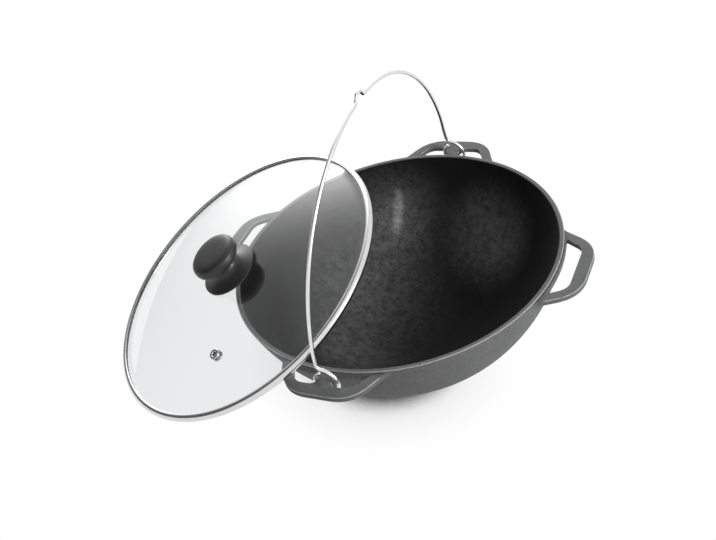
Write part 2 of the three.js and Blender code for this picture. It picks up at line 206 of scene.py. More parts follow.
# Tones of the finishes, from dark to light
IRON_TONES = ((0.0792, 0.08, 0.0808), (0.17784, 0.18, 0.18216))
RIM_TONES = (0.07, 0.14)
# Corners lightened for wear and a painted highlight
WEAR_AND_GLINT_TONE = 0.45
WIRE_TONES = (0.66, 0.82)
SHEET_TONES = (0.6, 0.75)
ZINC_TONES = (0.42, 0.55)
KNOB_TONES = (0.018, 0.034)
SILICONE_TONES = (0.2, 0.3)
BRASS_TONES = ((0.42, 0.27, 0.08), (0.62, 0.43, 0.15))
GLASS_TONE = (0.868, 0.875, 0.882)

# Roughness of the finishes before their marks add to it, and of the glass where it is smeared
IRON_ROUGHNESS = 0.62
WIRE_ROUGHNESS = 0.17
SHEET_ROUGHNESS = 0.12
KNOB_ROUGHNESS = 0.34
SILICONE_ROUGHNESS = 0.55
BRASS_ROUGHNESS = 0.25
GLASS_ROUGHNESS = 0.03

# Size of the marks in the finishes
IRON_PITS = 1.6
IRON_GRAIN = 2.2
IRON_MOTTLE = 3.5
IRON_CLOUDS = 9
IRON_PATCHES = 35
RIM_GRIND = 1.2
WIRE_STREAKS = 1.2
WIRE_DULLNESS = 20
SHEET_MARKS = 1.5
SHEET_HAZE = 30
GLASS_SMEAR = 50
KNOB_GRAIN = 0.9
KNOB_CLOUDS = 12
SILICONE_DUST = 0.8
SILICONE_CLOUDS = 6
BRASS_MARKS = 1
BRASS_TARNISH = 4

# Depth of the relief of the finishes
IRON_RELIEF = 0.6
WIRE_RELIEF = 0.08
SHEET_RELIEF = 0.05
KNOB_RELIEF = 0.12
SILICONE_RELIEF = 0.1
BRASS_RELIEF = 0.06

# Where the finishes of the iron fade into each other: from the bore outwards, below the rim's face,
# from the rim's radius outwards, and below an ear's top face
SEASONED_FADE = (0.8, 2)
GROUND_HEIGHTS = (-1.2, -0.3)
GROUND_FADE = (0, 0.6)
# The rim's and ears' corners are lightened for wear and a painted highlight along the edges
RIM_WEAR_AND_GLINT = (-1.4, -0.7)
EAR_WEAR_AND_GLINT_REACH = (4, 8)
EAR_WEAR_AND_GLINT_START = (0.02, 0.1)
EAR_WEAR_AND_GLINT_END = (0.7, 1.1)

# Painted pools of light and a painted highlight streak on the black seasoning of the bowl: place on the wall,
# reach and tone
SEASONED_TONE = 0.004
PAINTED_LIGHT_SPOTS = (
    ((-82, 45, -112), (135, 135, 135), 0.14),
    ((-68, -55, -119), (100, 80, 80), 0.1),
    ((-64, 135, -60), (9, 40, 44), 0.34),
    ((-64, 130, -60), (80, 80, 80), 0.11),
    ((58, 124, -75), (80, 80, 80), 0.26),
)

# Camera, from the middle of the rim, in millimetres and degrees
CAMERA_OFFSET = (355.8, -854.2, 564.4)
CAMERA_AZIMUTH = 25.15
CAMERA_ELEVATION = 32.5
FOCAL_PIXELS = 1000
IMAGE_WIDTH = 716
SENSOR_WIDTH = 36

# Studio, in metres and watts
FLOOR_SIZE = 12
FLOOR_TONE = 0.8
CONTACT_REACH = 0.25
CONTACT_SAMPLES = 48
CONTACT_RANGE = (0.14, 0.29)
HAZE_RANGE = (0.2, 0.55)
HAZE_SHARE = 0.15
STUDIO_SHADE = 0.12
GLOW_DIRECTION = (-0.58, 0.67, 0.46)
GLOW_FOCUS = 18
GLOW_STRENGTH = 9.8
FLAG_DIRECTION = (-0.93, -0.1, 0.3)
FLAG_RANGE = (0.5, 0.85)
SOFTBOX_PLACE = (1.48, -0.36, 1.0)
SOFTBOX_SIZE = 0.6
SOFTBOX_POWER = 24


# Sizes that follow, and the frames of the pieces

def turn(degrees, axis):
    return Matrix.Rotation(math.radians(degrees), 4, axis)


def joint(name):
    return next(j for j in frame["joints"] if j["name"] == name)


bowl_radius = (RIM_RADIUS ** 2 + BOWL_DEPTH ** 2) / (2 * BOWL_DEPTH)
bowl_centre = bowl_radius - BOWL_DEPTH
bore_radius = bowl_radius - WALL
ear_tip = RIM_RADIUS + EAR_REACH
ear_top = -EAR_DROP
ear_bottom = ear_top - EAR_THICKNESS
slot_start = RIM_RADIUS - 2 * WALL
slot_web = RIM_RADIUS + SLOT_WEB
slot_end = ear_tip - EAR_FRAME
hinge_height = (ear_top + ear_bottom) / 2
wire_radius = WIRE_DIAMETER / 2
bail_radius = RIM_RADIUS + BAIL_REACH
seal_bottom = BAND_SHEET + FIT
land_bottom = seal_bottom + RIM_SEAL + FIT
land_top = land_bottom + GLASS_THICKNESS
seal_top = land_top + FIT + RIM_SEAL
band_top = seal_top + FIT + BAND_SHEET
seal_radius = LID_RADIUS - BAND_SHEET - FIT
glass_radius = seal_radius - RIM_SEAL - FIT
dome_edge = glass_radius - GLASS_LAND
dome_radius = (dome_edge ** 2 + DOME_RISE ** 2) / (2 * DOME_RISE)

pot_turn = turn(POT_ROLL, "Y") @ turn(POT_PITCH, "X")
rim_centre = Vector(joint("bail_swing")["pos_m"]) - pot_turn @ Vector((0, 0, hinge_height * MM))
POT = Matrix.Translation(rim_centre) @ pot_turn @ Matrix.Scale(MM, 4)
BAIL = POT @ Matrix.Translation((0, 0, hinge_height)) @ turn(BAIL_LEAN, "Y")

lid_turn = turn(LID_TURN, "Z") @ turn(LID_LEAN, "Y")
band_low, band_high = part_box("lid_rim_band")
lid_centre = (band_low + band_high) / 2 - lid_turn @ Vector((0, 0, band_top / 2 * MM))
LID = Matrix.Translation(lid_centre) @ lid_turn @ Matrix.Scale(MM, 4)


def glass_top(radius):
    """Height of the dome's upper face."""
    return land_top + DOME_RISE - dome_radius + math.sqrt(dome_radius ** 2 - radius ** 2)


def glass_bottom(radius):
    return glass_top(radius) - GLASS_THICKNESS


def vent_frame():
    """The vent stands on top of the dome, square to the glass."""
    slope = turn(math.degrees(math.asin(VENT_DISTANCE / dome_radius)), "Y")
    out = Matrix.Translation((VENT_DISTANCE, 0, glass_top(VENT_DISTANCE)))
    return LID @ turn(VENT_BEARING, "Z") @ out @ slope


VENT = vent_frame()

screw_hole = SCREW_RADIUS + FIT
upper_seal_bottom = glass_top(KNOB_HOLE_RADIUS) + FIT
boss_bottom = upper_seal_bottom + KNOB_SEAL + FIT
knob_bottom = glass_top(KNOB_BASE_RADIUS - KNOB_SKIRT) + FIT
lower_seal_bottom = glass_bottom(KNOB_SEAL_RADIUS) - FIT - KNOB_SEAL
knob_washer_bottom = lower_seal_bottom - FIT - KNOB_WASHER
lock_washer_bottom = knob_washer_bottom - FIT - LOCK_WASHER
head_top = lock_washer_bottom - FIT


# Outlines

def softened(corners, steps):
    """Closed outline through (x, y, trim) corners, each rounded over the trim on its two sides."""
    points = []
    for i, (x, y, trim) in enumerate(corners):
        corner = Vector((x, y))
        if trim == 0:
            points.append(corner)
            continue
        before = Vector(corners[i - 1][:2])
        after = Vector(corners[(i + 1) % len(corners)][:2])
        start = corner + (before - corner).normalized() * trim
        end = corner + (after - corner).normalized() * trim
        for step in range(steps + 1):
            t = step / steps
            points.append(start * (1 - t) ** 2 + corner * 2 * t * (1 - t) + end * t ** 2)
    return points


def bezier(a, b, c, d, steps):
    """Points of one cubic curve, without its first point."""
    a, b, c, d = (Vector(p) for p in (a, b, c, d))
    points = []
    for step in range(1, steps + 1):
        t = step / steps
        s = 1 - t
        points.append(a * s ** 3 + b * 3 * s * s * t + c * 3 * s * t * t + d * t ** 3)
    return points


def inset(outline, amount):
    """Moves an anticlockwise outline inwards along its normals."""
    moved = []
    for i, point in enumerate(outline):
        along = outline[(i + 1) % len(outline)] - outline[i - 1]
        inward = Vector((-along.y, along.x)).normalized()
        moved.append(point + inward * amount)
    return moved


def edge_steps(radius, steps=4):
    """(inset, depth below the face) along a rounded edge, from the face down."""
    quarter = [math.pi / 2 * i / steps for i in range(steps + 1)]
    return [(radius * (1 - math.sin(a)), radius * (1 - math.cos(a))) for a in quarter]


# Mesh making

def placed(name, data):
    """A new object of the scene."""
    thing = bpy.data.objects.new(name, data)
    bpy.context.scene.collection.objects.link(thing)
    return thing


def smooth(mesh, crease):
    """Smooth shading, with a crease at edges sharper than the angle."""
    mesh.shade_smooth()
    mesh.set_sharp_from_angle(angle=math.radians(crease))


def new_piece(name, vertices, faces, place, crease=CREASE):
    """A smooth piece, with its vertices put into the row's frame."""
    mesh = bpy.data.meshes.new(name)
    mesh.from_pydata([place @ Vector(v) for v in vertices], [], faces)
    mesh.validate()
    smooth(mesh, crease)
    return placed(name, mesh)


def turned(name, outline, segments, place, closed=False, crease=CREASE):
    """Turns a (radius, height) outline, listed anticlockwise, round the frame's Z axis.
    A closed outline comes back to its first point, and any other starts and ends on the axis."""
    vertices = []
    rows = []
    for radius, height in outline:
        if abs(radius) < ON_AXIS:
            rows.append([len(vertices)] * segments)
            vertices.append((0, 0, height))
            continue
        rows.append(list(range(len(vertices), len(vertices) + segments)))
        for i in range(segments):
            angle = 2 * math.pi * i / segments
            vertices.append((radius * math.cos(angle), radius * math.sin(angle), height))
    if closed:
        rows.append(rows[0])
    faces = []
    for low, high in zip(rows, rows[1:]):
        for i in range(segments):
            j = (i + 1) % segments
            face = list(dict.fromkeys((low[i], low[j], high[j], high[i])))
            if len(face) > 2:
                faces.append(face)
    return new_piece(name, vertices, faces, place, crease)


def lofted(name, layers, place):
    """A closed body through (outline, height) layers from the bottom up."""
    count = len(layers[0][0])
    vertices = [(p.x, p.y, height) for outline, height in layers for p in outline]
    faces = [list(reversed(range(count)))]
    for level in range(len(layers) - 1):
        low = level * count
        high = low + count
        for i in range(count):
            j = (i + 1) % count
            faces.append([low + i, low + j, high + j, high + i])
    faces.append([(len(layers) - 1) * count + i for i in range(count)])
    return new_piece(name, vertices, faces, place)


def joined(name, pieces):
    """One object from several, which are removed."""
    body = bmesh.new()
    for piece in pieces:
        body.from_mesh(piece.data)
        bpy.data.objects.remove(piece)
    mesh = bpy.data.meshes.new(name)
    body.to_mesh(mesh)
    body.free()
    return placed(name, mesh)


def plain_mesh(piece):
    """The piece's mesh with its modifiers applied, and the modifiers gone."""
    evaluated = piece.evaluated_get(bpy.context.evaluated_depsgraph_get())
    mesh = bpy.data.meshes.new_from_object(evaluated)
    piece.modifiers.clear()
    piece.data = mesh
    return mesh


def cut(piece, *steps, crease=CREASE):
    """Joins or cuts the piece by each (operation, tool), and removes the tools."""
    for operation, tool in steps:
        modifier = piece.modifiers.new(operation, "BOOLEAN")
        modifier.operation = operation
        modifier.solver = "EXACT"
        modifier.object = tool
    mesh = plain_mesh(piece)
    for _, tool in steps:
        bpy.data.objects.remove(tool)
    smooth(mesh, crease)


def dress(piece, body, slot, finish, *nodes):
    """Gives the piece its finish, its body and the CAD nodes it stands for; the slot is not used."""
    piece.data.materials.clear()
    piece.data.materials.append(finish)
    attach(piece, body)
    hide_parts(*nodes)


# Shader maths

class Signal:
    """A shader socket that can be used in arithmetic."""

    def __init__(self, sheet, socket):
        self.sheet = sheet
        self.socket = socket

    def math(self, operation, *values):
        return self.sheet.node("ShaderNodeMath", {"operation": operation}, dict(enumerate(values)))

    def __add__(self, other):
        return self.math("ADD", self, other)

    def __radd__(self, other):
        return self.math("ADD", other, self)

    def __sub__(self, other):
        return self.math("SUBTRACT", self, other)

    def __rsub__(self, other):
        return self.math("SUBTRACT", other, self)

    def __mul__(self, other):
        return self.math("MULTIPLY", self, other)

    def __rmul__(self, other):
        return self.math("MULTIPLY", other, self)

    def __pow__(self, other):
        return self.math("POWER", self, other)

    def above(self, low):
        """The larger of the two."""
        return self.math("MAXIMUM", self, low)

    def between(self, low, high):
        """0 at low and below, 1 at high and above, smooth in between."""
        return self.sheet.node(
            "ShaderNodeMapRange", {"interpolation_type": "SMOOTHSTEP"},
            {"Value": self, "From Min": low, "From Max": high})


class Sheet:
    """A node tree that shader expressions add their nodes to."""

    def __init__(self, tree):
        self.tree = tree

    def node(self, kind, settings, inputs, output=0):
        made = self.tree.nodes.new(kind)
        for key, value in settings.items():
            setattr(made, key, value)
        for key, value in inputs.items():
            self.feed(made.inputs[key], value)
        return Signal(self, made.outputs[output])

    def feed(self, socket, value):
        if isinstance(value, Signal):
            self.tree.links.new(value.socket, socket)
        elif hasattr(socket.default_value, "__len__"):
            wanted = len(socket.default_value)
            socket.default_value = (*value, 1.0) if len(value) < wanted else value
        else:
            socket.default_value = value

    def vector(self, operation, inputs, output=0):
        return self.node("ShaderNodeVectorMath", {"operation": operation}, dict(enumerate(inputs)), output)

    def ray(self, kind):
        return self.node("ShaderNodeLightPath", {}, {}, f"Is {kind} Ray")

    def along(self, vector, direction):
        """Cosine of the angle to a direction."""
        return self.vector("DOT_PRODUCT", (vector, Vector(direction).normalized()), "Value")


class Finish(Sheet):
    """One procedural material."""

    def __init__(self, name):
        self.material = bpy.data.materials.new(name)
        self.material.use_nodes = True
        super().__init__(self.material.node_tree)
        self.shader = self.tree.nodes["Principled BSDF"]

    def put(self, **values):
        for key, value in values.items():
            self.feed(self.shader.inputs[key.replace("_", " ")], value)

    def surface(self, shader):
        self.feed(self.tree.nodes["Material Output"].inputs["Surface"], shader)

    def within(self, place):
        """Coordinates in a piece's frame, in millimetres."""
        spot = self.node("ShaderNodeTexCoord", {}, {}, "Object")
        return self.node("ShaderNodeMapping", {"vector_type": "TEXTURE"}, {
            "Vector": spot,
            "Location": place.translation,
            "Rotation": place.to_quaternion().to_euler("XYZ"),
            "Scale": place.to_scale(),
        })

    def axes(self, vector):
        split = self.node("ShaderNodeSeparateXYZ", {}, {"Vector": vector})
        return [Signal(self, out) for out in split.socket.node.outputs]

    def length(self, vector):
        return self.vector("LENGTH", (vector,), "Value")

    def shifted(self, vector, offset):
        return self.vector("ADD", (vector, offset))

    def stretched(self, vector, factors):
        return self.vector("MULTIPLY", (vector, factors))

    def noise(self, vector, size, detail=4, roughness=0.6):
        """Noise whose features are about size millimetres across."""
        return self.node(
            "ShaderNodeTexNoise", {},
            {"Vector": vector, "Scale": 1 / size, "Detail": detail, "Roughness": roughness})

    def cells(self, vector, size):
        return self.node("ShaderNodeTexVoronoi", {}, {"Vector": vector, "Scale": 1 / size})

    def mix(self, factor, first, second):
        return self.node("ShaderNodeMix", {"data_type": "RGBA"}, {0: factor, 6: first, 7: second}, 2)

    def bump(self, height, depth, strength):
        """Relief that is depth millimetres deep for a height of one."""
        self.put(Normal=self.node(
            "ShaderNodeBump", {}, {"Strength": strength, "Distance": depth * MM, "Height": height}))


def grey(tone):
    return (tone, tone, tone)


def greys(tones):
    return [grey(tone) for tone in tones]


def past(size, steps):
    """Places that are given as steps outwards from a size."""
    return [size + step for step in steps]


# Finishes

def iron_zones(f, spot):
    """Masks of the casting's seasoned inside, its ground rim and its corners, lightened for wear and a
    painted highlight.
    """
    x, y, z = f.axes(spot)
    reach = (x * x + y * y) ** 0.5
    from_centre = f.length(f.shifted(spot, (0, 0, -bowl_centre)))
    inside = 1 - from_centre.between(*past(bore_radius, SEASONED_FADE))
    on_rim = z.between(*GROUND_HEIGHTS) * (1 - reach.between(*past(RIM_RADIUS, GROUND_FADE)))
    rim_corner = on_rim * reach.between(*past(RIM_RADIUS, RIM_WEAR_AND_GLINT))
    below_top = ear_top - z
    ear_corner = below_top.between(*EAR_WEAR_AND_GLINT_START) * (1 - below_top.between(*EAR_WEAR_AND_GLINT_END))
    wear_and_glint = rim_corner.above(ear_corner * reach.between(*past(RIM_RADIUS, EAR_WEAR_AND_GLINT_REACH)))
    return inside, on_rim, wear_and_glint


def seasoning_with_painted_light(f, spot, mottle):
    """Black seasoning with painted pools of light and a painted highlight streak, broken up at two scales."""
    clouds = f.noise(spot, IRON_CLOUDS, detail=5, roughness=0.65)
    broken = 0.2 + 0.5 * mottle.between(0.3, 0.75) + 0.5 * clouds.between(0.3, 0.72)
    seasoning_and_painted_light = SEASONED_TONE
    # Each spot adds a soft painted patch of light to the black seasoning
    for place, reach, tone in PAINTED_LIGHT_SPOTS:
        from_place = f.shifted(spot, -Vector(place))
        away = f.length(f.stretched(from_place, [1 / r for r in reach]))
        seasoning_and_painted_light = seasoning_and_painted_light + (1 - away.between(0.0, 1.0)) * tone
    return f.mix(seasoning_and_painted_light * broken, grey(0.0), grey(1.0))


def cast_iron():
    """Grey as-cast skin outside, blackened inside with painted pools of light, bare ground metal on the rim,
    and corners bright with wear and a painted highlight.
    """
    f = Finish("cast_iron_skin")
    spot = f.within(POT)
    inside, on_rim, wear_and_glint = iron_zones(f, spot)
    grain = f.noise(spot, IRON_GRAIN, detail=6, roughness=0.7)
    mottle = f.noise(spot, IRON_MOTTLE, detail=6, roughness=0.75)
    patches = f.noise(spot, IRON_PATCHES, detail=5)
    pits = f.cells(spot, IRON_PITS)
    grind = f.noise(f.stretched(spot, (1, 1, 6)), RIM_GRIND, detail=3)
    speckle = (patches + grain.between(0.3, 0.7)) * 0.5
    tone = f.mix(speckle, *IRON_TONES)
    tone = f.mix(inside, tone, seasoning_with_painted_light(f, spot, mottle))
    tone = f.mix(on_rim, tone, f.mix(grind, *greys(RIM_TONES)))
    # Lightens the rim's and ears' corners: wear with a painted highlight along the edges
    tone = f.mix(wear_and_glint * grain.between(0.25, 0.55), tone, grey(WEAR_AND_GLINT_TONE))
    f.put(
        Base_Color=tone,
        Roughness=IRON_ROUGHNESS + patches * 0.1 + grain * 0.08 - on_rim * 0.1,
        Specular_IOR_Level=0.2,
    )
    f.bump(grain * 0.7 + pits * 0.35 + mottle * 0.6, depth=IRON_RELIEF, strength=0.6)
    return f.material


def bright_wire():
    """Plated wire with fine drawing marks along it."""
    f = Finish("bright_wire")
    spot = f.within(BAIL)
    streaks = f.noise(f.stretched(spot, (3, 0.35, 0.35)), WIRE_STREAKS, detail=3)
    dull = f.noise(spot, WIRE_DULLNESS)
    f.put(
        Base_Color=f.mix(dull, *greys(WIRE_TONES)),
        Metallic=1.0,
        Roughness=WIRE_ROUGHNESS + streaks * 0.08 + dull * 0.05,
    )
    f.bump(streaks, depth=WIRE_RELIEF, strength=0.4)
    return f.material


def rolled_steel(name, place, tones):
    """Polished sheet with faint marks that run round the piece."""
    f = Finish(name)
    spot = f.within(place)
    marks = f.noise(f.stretched(spot, (0.4, 0.4, 5)), SHEET_MARKS, roughness=0.65)
    haze = f.noise(spot, SHEET_HAZE)
    f.put(
        Base_Color=f.mix(haze, *greys(tones)),
        Metallic=1.0,
        Roughness=SHEET_ROUGHNESS + marks * 0.08 + haze * 0.05,
    )
    f.bump(marks, depth=SHEET_RELIEF, strength=0.35)
    return f.material


def clear_glass():
    """Clear glass with a faint smear."""
    f = Finish("clear_glass")
    smear = f.noise(f.within(LID), GLASS_SMEAR)
    f.put(
        Base_Color=GLASS_TONE,
        Transmission_Weight=1.0,
        IOR=1.5,
        Roughness=smear.between(0.5, 0.8) * GLASS_ROUGHNESS,
    )
    return f.material


def moulded_knob():
    """Black plastic with the fine grain of its mould."""
    f = Finish("black_knob")
    spot = f.within(LID)
    grain = f.noise(spot, KNOB_GRAIN)
    clouds = f.noise(spot, KNOB_CLOUDS)
    f.put(
        Base_Color=f.mix(clouds, *greys(KNOB_TONES)),
        Roughness=KNOB_ROUGHNESS + grain * 0.1 + clouds * 0.06,
        Specular_IOR_Level=0.4,
    )
    f.bump(grain, depth=KNOB_RELIEF, strength=0.5)
    return f.material


def soft_seal():
    """Grey silicone, matt and a little dusty."""
    f = Finish("grey_silicone")
    spot = f.within(LID)
    clouds = f.noise(spot, SILICONE_CLOUDS)
    dust = f.noise(spot, SILICONE_DUST, detail=3)
    f.put(
        Base_Color=f.mix(clouds, *greys(SILICONE_TONES)),
        Roughness=SILICONE_ROUGHNESS + dust * 0.25,
    )
    f.bump(dust, depth=SILICONE_RELIEF, strength=0.4)
    return f.material


def turned_brass():
    """Brass with turning marks and some tarnish."""
    f = Finish("turned_brass")
    spot = f.within(LID)
    marks = f.noise(f.stretched(spot, (0.5, 0.5, 8)), BRASS_MARKS, detail=3)
    tarnish = f.noise(spot, BRASS_TARNISH)
    f.put(
        Base_Color=f.mix(tarnish, *BRASS_TONES),
        Metallic=1.0,
        Roughness=BRASS_ROUGHNESS + marks * 0.2,
    )
    f.bump(marks, depth=BRASS_RELIEF, strength=0.4)
    return f.material


# Pot

def on_sphere(radius, angle):
    """Point of the bowl's section, by its angle from straight down."""
    return Vector((radius * math.sin(angle), bowl_centre - radius * math.cos(angle)))


def bowl_shell():
    """Wall of even thickness between two concentric spheres, with a ground rim and a gate flat."""
    gate = math.asin(GATE_RADIUS / bowl_radius)
    rim = math.acos((bowl_centre + RIM_EDGE) / bowl_radius)
    bore_rim = math.acos((bowl_centre + RIM_EDGE) / bore_radius)
    shares = [i / BOWL_RINGS for i in range(BOWL_RINGS + 1)]
    outside = [on_sphere(bowl_radius, gate + (rim - gate) * share) for share in shares]
    inside = [on_sphere(bore_radius, bore_rim * (1 - share)) for share in shares]
    bottom = Vector((0, outside[0].y))
    lip = [Vector((RIM_RADIUS - RIM_EDGE, 0)), Vector((inside[0].x + RIM_EDGE, 0))]
    return turned("pot", [bottom, *outside, *lip, *inside], BOWL_SEGMENTS, POT, crease=POT_CREASE)


def on_circle(radius, across):
    """How far out a circle lies at an offset to the side."""
    return math.sqrt(radius ** 2 - across ** 2)


def ear_plate(bearing, foot_steps=16):
    """Plate reaching outwards, with its foot buried in the bowl's wall."""
    root = EAR_ROOT_WIDTH / 2
    tip = EAR_TIP_WIDTH / 2
    foot = root + 2 * EAR_ROOT_ROUND
    buried = RIM_RADIUS - EAR_ROOT_DEPTH
    root_out = on_circle(RIM_RADIUS, root)
    along_foot = [foot * (1 - 2 * i / foot_steps) for i in range(foot_steps + 1)]
    outline = softened([
        *[(on_circle(buried, across), across, 0) for across in along_foot],
        (root_out, -root, EAR_ROOT_ROUND),
        (ear_tip, -tip, EAR_TIP_ROUND),
        (ear_tip, tip, EAR_TIP_ROUND),
        (root_out, root, EAR_ROOT_ROUND),
    ], steps=12)
    rounded = edge_steps(EAR_EDGE)
    layers = [(inset(outline, inward), ear_bottom + depth) for inward, depth in rounded]
    layers += [(inset(outline, inward), ear_top - depth) for inward, depth in reversed(rounded)]
    return lofted(f"ear_{bearing}", layers, POT @ turn(bearing, "Z"))


def slot_corner(inner_across, outer_across):
    """Place where one side of a slot meets the web that is left along the rim."""
    inner = Vector((slot_start, inner_across))
    side = Vector((slot_end, outer_across)) - inner
    lean = inner.dot(side)
    inside_web = slot_web ** 2 - inner.length_squared
    reach = math.sqrt(lean ** 2 + side.length_squared * inside_web) - lean
    return inner + side * (reach / side.length_squared)


def slot_cutter(name, place, first, last, web_steps=12):
    """Cutter for one opening between two sides, each given as its offsets at the rim and at the tip.
    It is flared at both faces so that it leaves rounded edges."""
    start = slot_corner(*first)
    end = slot_corner(*last)
    along_web = [end.y + (start.y - end.y) * i / web_steps for i in range(1, web_steps)]
    outline = softened([
        (start.x, start.y, SLOT_WEB_ROUND),
        (slot_end, first[1], SLOT_ROUND),
        (slot_end, last[1], SLOT_ROUND),
        (end.x, end.y, SLOT_WEB_ROUND),
        *[(on_circle(slot_web, across), across, 0) for across in along_web],
    ], steps=8)
    flare = inset(outline, -SLOT_EDGE)
    rounded = edge_steps(SLOT_EDGE)
    low = [(inset(outline, -outward), ear_bottom + depth) for outward, depth in rounded]
    high = [(inset(outline, -outward), ear_top - depth) for outward, depth in reversed(rounded)]
    layers = [(flare, ear_bottom - CUT_PAST), *low, *high, (flare, ear_top + CUT_PAST)]
    return lofted(name, layers, place)


def slot_cutters(bearing, bridged):
    """Cutters for one ear's opening, which a bridge divides where the bail hangs."""
    place = POT @ turn(bearing, "Z")
    inner = SLOT_INNER_WIDTH / 2
    outer = SLOT_OUTER_WIDTH / 2
    bridge = BRIDGE_WIDTH / 2
    if not bridged:
        return [slot_cutter(f"slot_{bearing}", place, (-inner, -outer), (inner, outer))]
    return [
        slot_cutter(f"slot_{bearing}_low", place, (-inner, -outer), (-bridge, -bridge)),
        slot_cutter(f"slot_{bearing}_high", place, (bridge, bridge), (inner, outer)),
    ]


def pot(finish):
    """The casting: bowl and ears in one, with the openings cut through the ears."""
    ears = [ear_plate(bearing) for bearing, _ in EARS]
    slots = [cutter for ear in EARS for cutter in slot_cutters(*ear)]
    shell = bowl_shell()
    cut(shell, ("UNION", joined("ears", ears)), ("DIFFERENCE", joined("slots", slots)), crease=POT_CREASE)
    dress(shell, "pot", "cast_iron", finish, "pot_casting")


# Bail

def eye_points(side, round_steps=8, foot_steps=4):
    """Centre line from the tip of one eye over the bridge, round below it and out to the leg's foot."""
    eye = math.hypot(BRIDGE_WIDTH / 2, EAR_THICKNESS / 2) + EYE_PLAY + wire_radius
    foot = Vector((FOOT_OFFSET - EYE_SHIFT, FOOT_HEIGHT))
    foot_angle = math.atan2(foot.y, foot.x)
    tip = math.radians(EYE_TIP_BEARING)

    def point(angle, radius):
        return Vector((EYE_SHIFT + radius * math.cos(angle), side * bail_radius, radius * math.sin(angle)))

    points = [point(tip + (2 * math.pi - tip) * i / round_steps, eye) for i in range(round_steps + 1)]
    for i in range(1, foot_steps + 1):
        share = i / foot_steps
        points.append(point(foot_angle * share, eye + (foot.length - eye) * share ** 3))
    return points


def arch_points(steps=24):
    """Half circle round the rim's centre, with the raised hook seat bent into it."""
    start = math.asin((FOOT_HEIGHT + 2 * WIRE_DIAMETER) / bail_radius)
    arch = []
    for i in range(steps + 1):
        angle = start + (math.pi - 2 * start) * i / steps
        across = -bail_radius * math.cos(angle)
        arch.append(Vector((LEG_OFFSET, across, bail_radius * math.sin(angle) - hinge_height)))
    top = bail_radius - hinge_height
    seat = [
        Vector((LEG_OFFSET, HOOK_OFFSET + place * HOOK_WIDTH / 2, top + rise))
        for place, rise in ((-1, 0), (-HOOK_FLAT, HOOK_RISE), (HOOK_FLAT, HOOK_RISE), (1, 0))
    ]
    before = [p for p in arch if p.y < HOOK_OFFSET - HOOK_WIDTH]
    after = [p for p in arch if p.y > HOOK_OFFSET + HOOK_WIDTH]
    return [*before, *seat, *after]


def smooth_route(points, spacing):
    """Centripetal Catmull-Rom line through the points, sampled about every spacing."""
    ends = [points[0] * 2 - points[1], *points, points[-1] * 2 - points[-2]]
    line = [points[0].copy()]
    for p0, p1, p2, p3 in zip(ends, ends[1:], ends[2:], ends[3:]):
        t0 = 0.0
        t1 = t0 + math.sqrt((p1 - p0).length)
        t2 = t1 + math.sqrt((p2 - p1).length)
        t3 = t2 + math.sqrt((p3 - p2).length)
        steps = max(2, round((p2 - p1).length / spacing))
        for step in range(1, steps + 1):
            t = t1 + (t2 - t1) * step / steps
            a1 = p0.lerp(p1, (t - t0) / (t1 - t0))
            a2 = p1.lerp(p2, (t - t1) / (t2 - t1))
            a3 = p2.lerp(p3, (t - t2) / (t3 - t2))
            b1 = a1.lerp(a2, (t - t0) / (t2 - t0))
            b2 = a2.lerp(a3, (t - t1) / (t3 - t1))
            line.append(b1.lerp(b2, (t - t1) / (t2 - t1)))
    return line


def wire_tree():
    """Geometry nodes that draw a round wire with tapered tips along a line of edges."""
    tree = bpy.data.node_groups.new("drawn_wire", "GeometryNodeTree")
    interface = tree.interface
    interface.new_socket("Geometry", in_out="INPUT", socket_type="NodeSocketGeometry")
    kinds = {
        "Radius": "NodeSocketFloat",
        "Sides": "NodeSocketInt",
        "Tip": "NodeSocketFloat",
        "Finish": "NodeSocketMaterial",
    }
    sockets = {
        name: interface.new_socket(name, in_out="INPUT", socket_type=kind).identifier
        for name, kind in kinds.items()
    }
    interface.new_socket("Geometry", in_out="OUTPUT", socket_type="NodeSocketGeometry")
    nodes = tree.nodes
    link = tree.links.new
    given = nodes.new("NodeGroupInput")
    line = nodes.new("GeometryNodeMeshToCurve")
    ends = nodes.new("GeometryNodeCurveEndpointSelection")
    taper = nodes.new("GeometryNodeSetCurveRadius")
    size = nodes.new("GeometryNodeSwitch")
    size.input_type = "FLOAT"
    size.inputs["False"].default_value = 1.0
    radius = nodes.new("GeometryNodeInputRadius")
    section = nodes.new("GeometryNodeCurvePrimitiveCircle")
    tube = nodes.new("GeometryNodeCurveToMesh")
    tube.inputs["Fill Caps"].default_value = True
    whole = nodes.new("GeometryNodeRealizeInstances")
    coat = nodes.new("GeometryNodeSetMaterial")
    result = nodes.new("NodeGroupOutput")
    link(given.outputs["Geometry"], line.inputs["Mesh"])
    link(line.outputs["Curve"], taper.inputs["Curve"])
    link(ends.outputs["Selection"], size.inputs["Switch"])
    link(given.outputs["Tip"], size.inputs["True"])
    link(size.outputs["Output"], taper.inputs["Radius"])
    link(given.outputs["Radius"], section.inputs["Radius"])
    link(given.outputs["Sides"], section.inputs["Resolution"])
    link(taper.outputs["Curve"], tube.inputs["Curve"])
    link(section.outputs["Curve"], tube.inputs["Profile Curve"])
    link(radius.outputs["Radius"], tube.inputs["Scale"])
    link(tube.outputs["Mesh"], whole.inputs["Geometry"])
    link(whole.outputs["Geometry"], coat.inputs["Geometry"])
    link(given.outputs["Finish"], coat.inputs["Material"])
    link(coat.outputs["Geometry"], result.inputs["Geometry"])
    return tree, sockets


